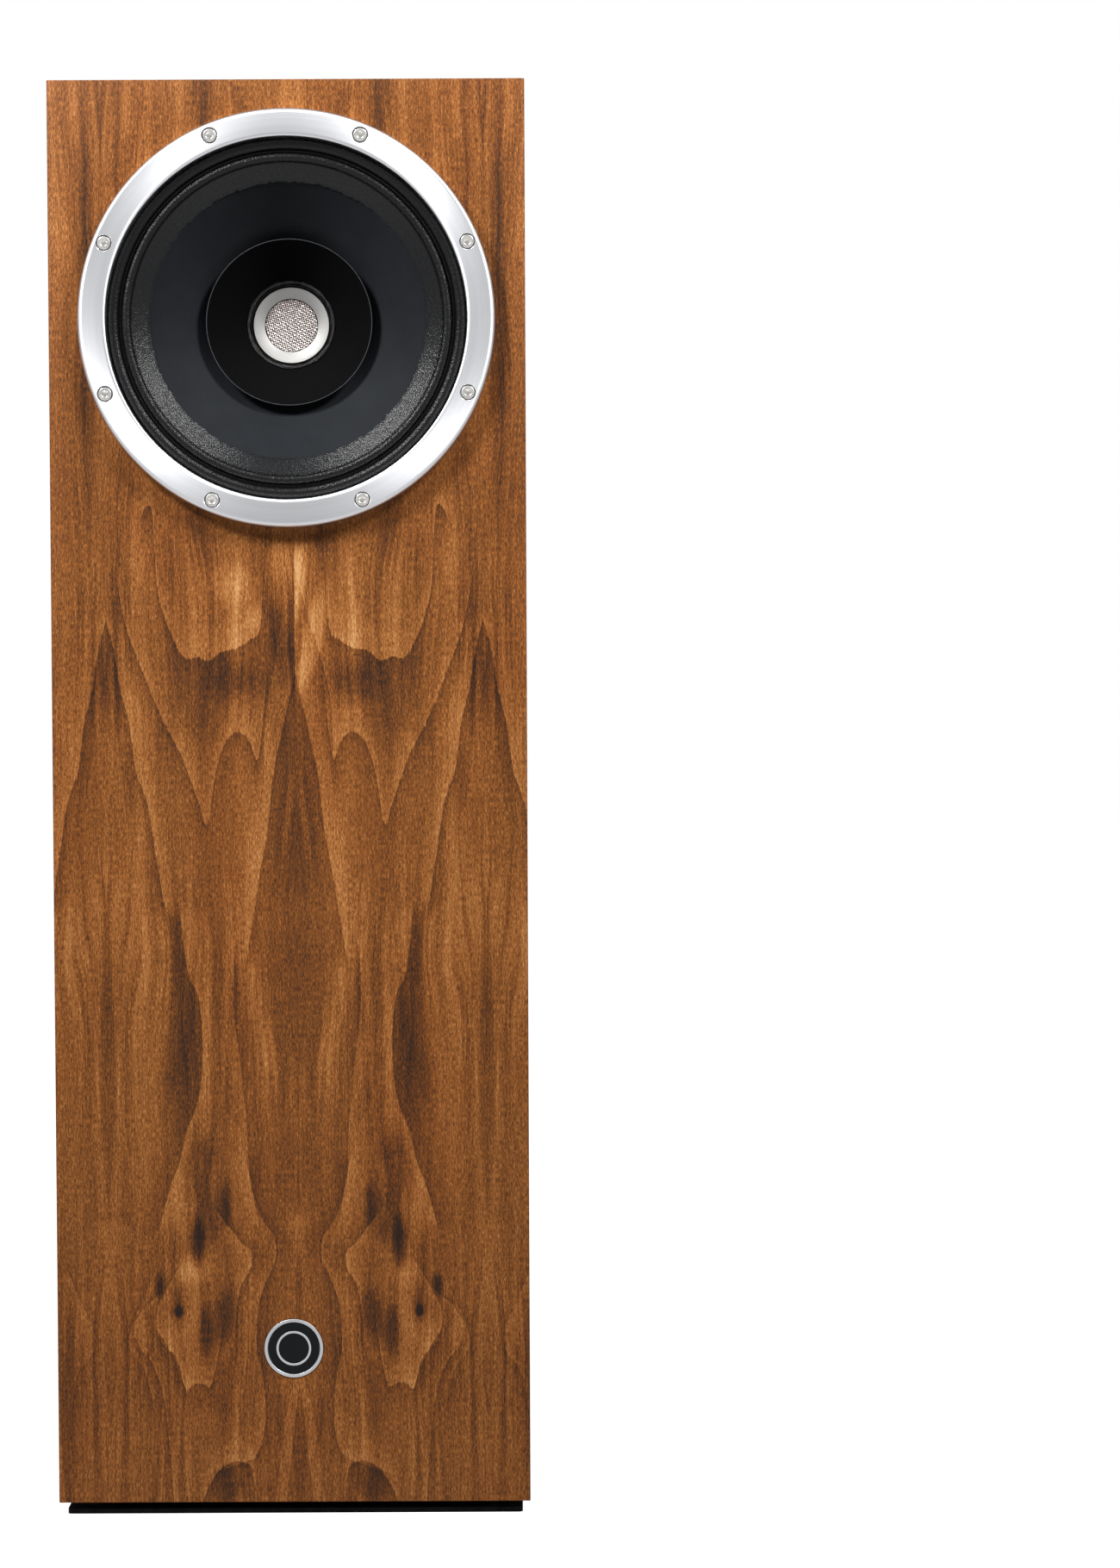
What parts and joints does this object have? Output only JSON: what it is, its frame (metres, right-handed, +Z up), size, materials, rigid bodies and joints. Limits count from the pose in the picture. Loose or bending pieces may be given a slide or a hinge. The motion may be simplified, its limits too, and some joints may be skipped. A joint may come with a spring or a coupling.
{
  "type": "floorstanding loudspeaker",
  "caption": "Tall square walnut-veneered column speaker with a coaxial full-range driver under a turned metal ring, a vented base on a thin plinth, and rear binding posts.",
  "frame": {"origin": "centre of the plinth's underside, on the floor", "axes": "+Z up; -Y the way the driver faces; +X to the right as a listener sees the front"},
  "size_m": [0.3048, 0.3438, 0.9226],
  "materials": {
    "walnut_veneer": "satin oiled walnut veneer on board",
    "bare_board": "bare board",
    "black_plastic": "moulded black",
    "black_metal": "black satin coat",
    "black_foam": "closed-cell foam",
    "brushed_aluminium": "turned and brushed",
    "polished_steel": "polished",
    "plated_steel": "zinc plated",
    "ferrite": "ground ferrite",
    "treated_cloth": "coated black cloth",
    "paper_cone": "ribbed dark paper pulp",
    "black_paper": "matt black paper",
    "resin_cloth": "resin-stiffened cloth",
    "former_film": "amber film",
    "copper_wire": "enamelled copper winding",
    "woven_wire": "woven steel wire",
    "dome_foil": "thin foil",
    "charcoal_enamel": "charcoal enamel",
    "plated_brass": "gold-plated brass",
    "red_plastic": "red",
    "board_laminate": "glass-fibre laminate",
    "capacitor_film": "yellow film",
    "resistor_body": "cement body",
    "red_sleeve": "wire sleeve",
    "black_sleeve": "wire sleeve"
  },
  "bodies": {
    "cabinet": {"front_baffle": "walnut_veneer", "rear_panel": "walnut_veneer", "left_side_panel": "walnut_veneer", "right_side_panel": "walnut_veneer", "top_panel": "walnut_veneer", "bottom_panel": "bare_board", "lower_brace": "bare_board", "middle_brace": "bare_board", "vent_tube": "black_plastic", "driver_frame": "black_metal", "frame_gasket": "black_foam", "trim_ring": "brushed_aluminium", "ring_screw_1": "polished_steel", "ring_screw_2": "polished_steel", "ring_screw_3": "polished_steel", "ring_screw_4": "polished_steel", "ring_screw_5": "polished_steel", "ring_screw_6": "polished_steel", "ring_screw_7": "polished_steel", "ring_screw_8": "polished_steel", "magnet_top_plate": "plated_steel", "magnet_ring": "ferrite", "pole_and_back_plate": "plated_steel", "tweeter_body": "plated_steel", "tweeter_flange": "brushed_aluminium", "tweeter_mesh": "woven_wire", "badge_bezel": "brushed_aluminium", "badge_disc": "charcoal_enamel", "terminal_plate": "black_metal", "binding_post_positive": "plated_brass", "binding_post_negative": "plated_brass", "post_nut_positive": "polished_steel", "post_nut_negative": "polished_steel", "filter_board": "board_laminate", "filter_capacitor": "capacitor_film", "filter_resistor": "resistor_body", "driver_terminal_strip": "black_plastic", "plinth_plate": "black_metal", "plinth_standoff_1": "brushed_aluminium", "plinth_standoff_2": "brushed_aluminium", "plinth_standoff_3": "brushed_aluminium", "plinth_standoff_4": "brushed_aluminium", "plinth_bolt_1": "polished_steel", "plinth_bolt_2": "polished_steel", "plinth_bolt_3": "polished_steel", "plinth_bolt_4": "polished_steel", "wire_positive": "red_sleeve", "wire_negative": "black_sleeve", "tweeter_lead": "black_sleeve"},
    "cone_assembly": {"cone": "paper_cone", "surround": "treated_cloth", "whizzer_cone": "black_paper", "spider": "resin_cloth", "voice_coil_former": "former_film", "voice_coil": "copper_wire"},
    "tweeter_diaphragm": {"tweeter_dome": "dome_foil"},
    "positive_clamp": {"post_washer_positive": "plated_brass"},
    "positive_knob": {"post_knob_positive": "red_plastic"},
    "negative_clamp": {"post_washer_negative": "plated_brass"},
    "negative_knob": {"post_knob_negative": "black_plastic"}
  },
  "joints": [
    {"name": "cone_travel", "type": "slide", "parent": "cabinet", "child": "cone_assembly", "axis": [0, -1, 0], "range_m": [-0.004, 0.004], "stiffness_N_per_m": 2400, "deforming": ["surround", "spider"]},
    {"name": "dome_travel", "type": "slide", "parent": "cabinet", "child": "tweeter_diaphragm", "axis": [0, -1, 0], "range_m": [-0.0003, 0.0003], "stiffness_N_per_m": 4000},
    {"name": "positive_clamp_travel", "type": "slide", "parent": "cabinet", "child": "positive_clamp", "axis": [0, 1, 0], "range_m": [0, 0.005]},
    {"name": "positive_knob_turn", "type": "hinge", "parent": "positive_clamp", "child": "positive_knob", "pos_m": [0.00953, 0.1557, 0.1482], "axis": [0, 1, 0], "range_deg": [0, 1800]},
    {"name": "negative_clamp_travel", "type": "slide", "parent": "cabinet", "child": "negative_clamp", "axis": [0, 1, 0], "range_m": [0, 0.005]},
    {"name": "negative_knob_turn", "type": "hinge", "parent": "negative_clamp", "child": "negative_knob", "pos_m": [-0.00953, 0.1557, 0.1482], "axis": [0, 1, 0], "range_deg": [0, 1800]}
  ],
  "couplings": [
    {"joint": "positive_knob_turn", "follows": "positive_clamp_travel", "rad_per_m": 6283.2},
    {"joint": "negative_knob_turn", "follows": "negative_clamp_travel", "rad_per_m": 6283.2}
  ]
}
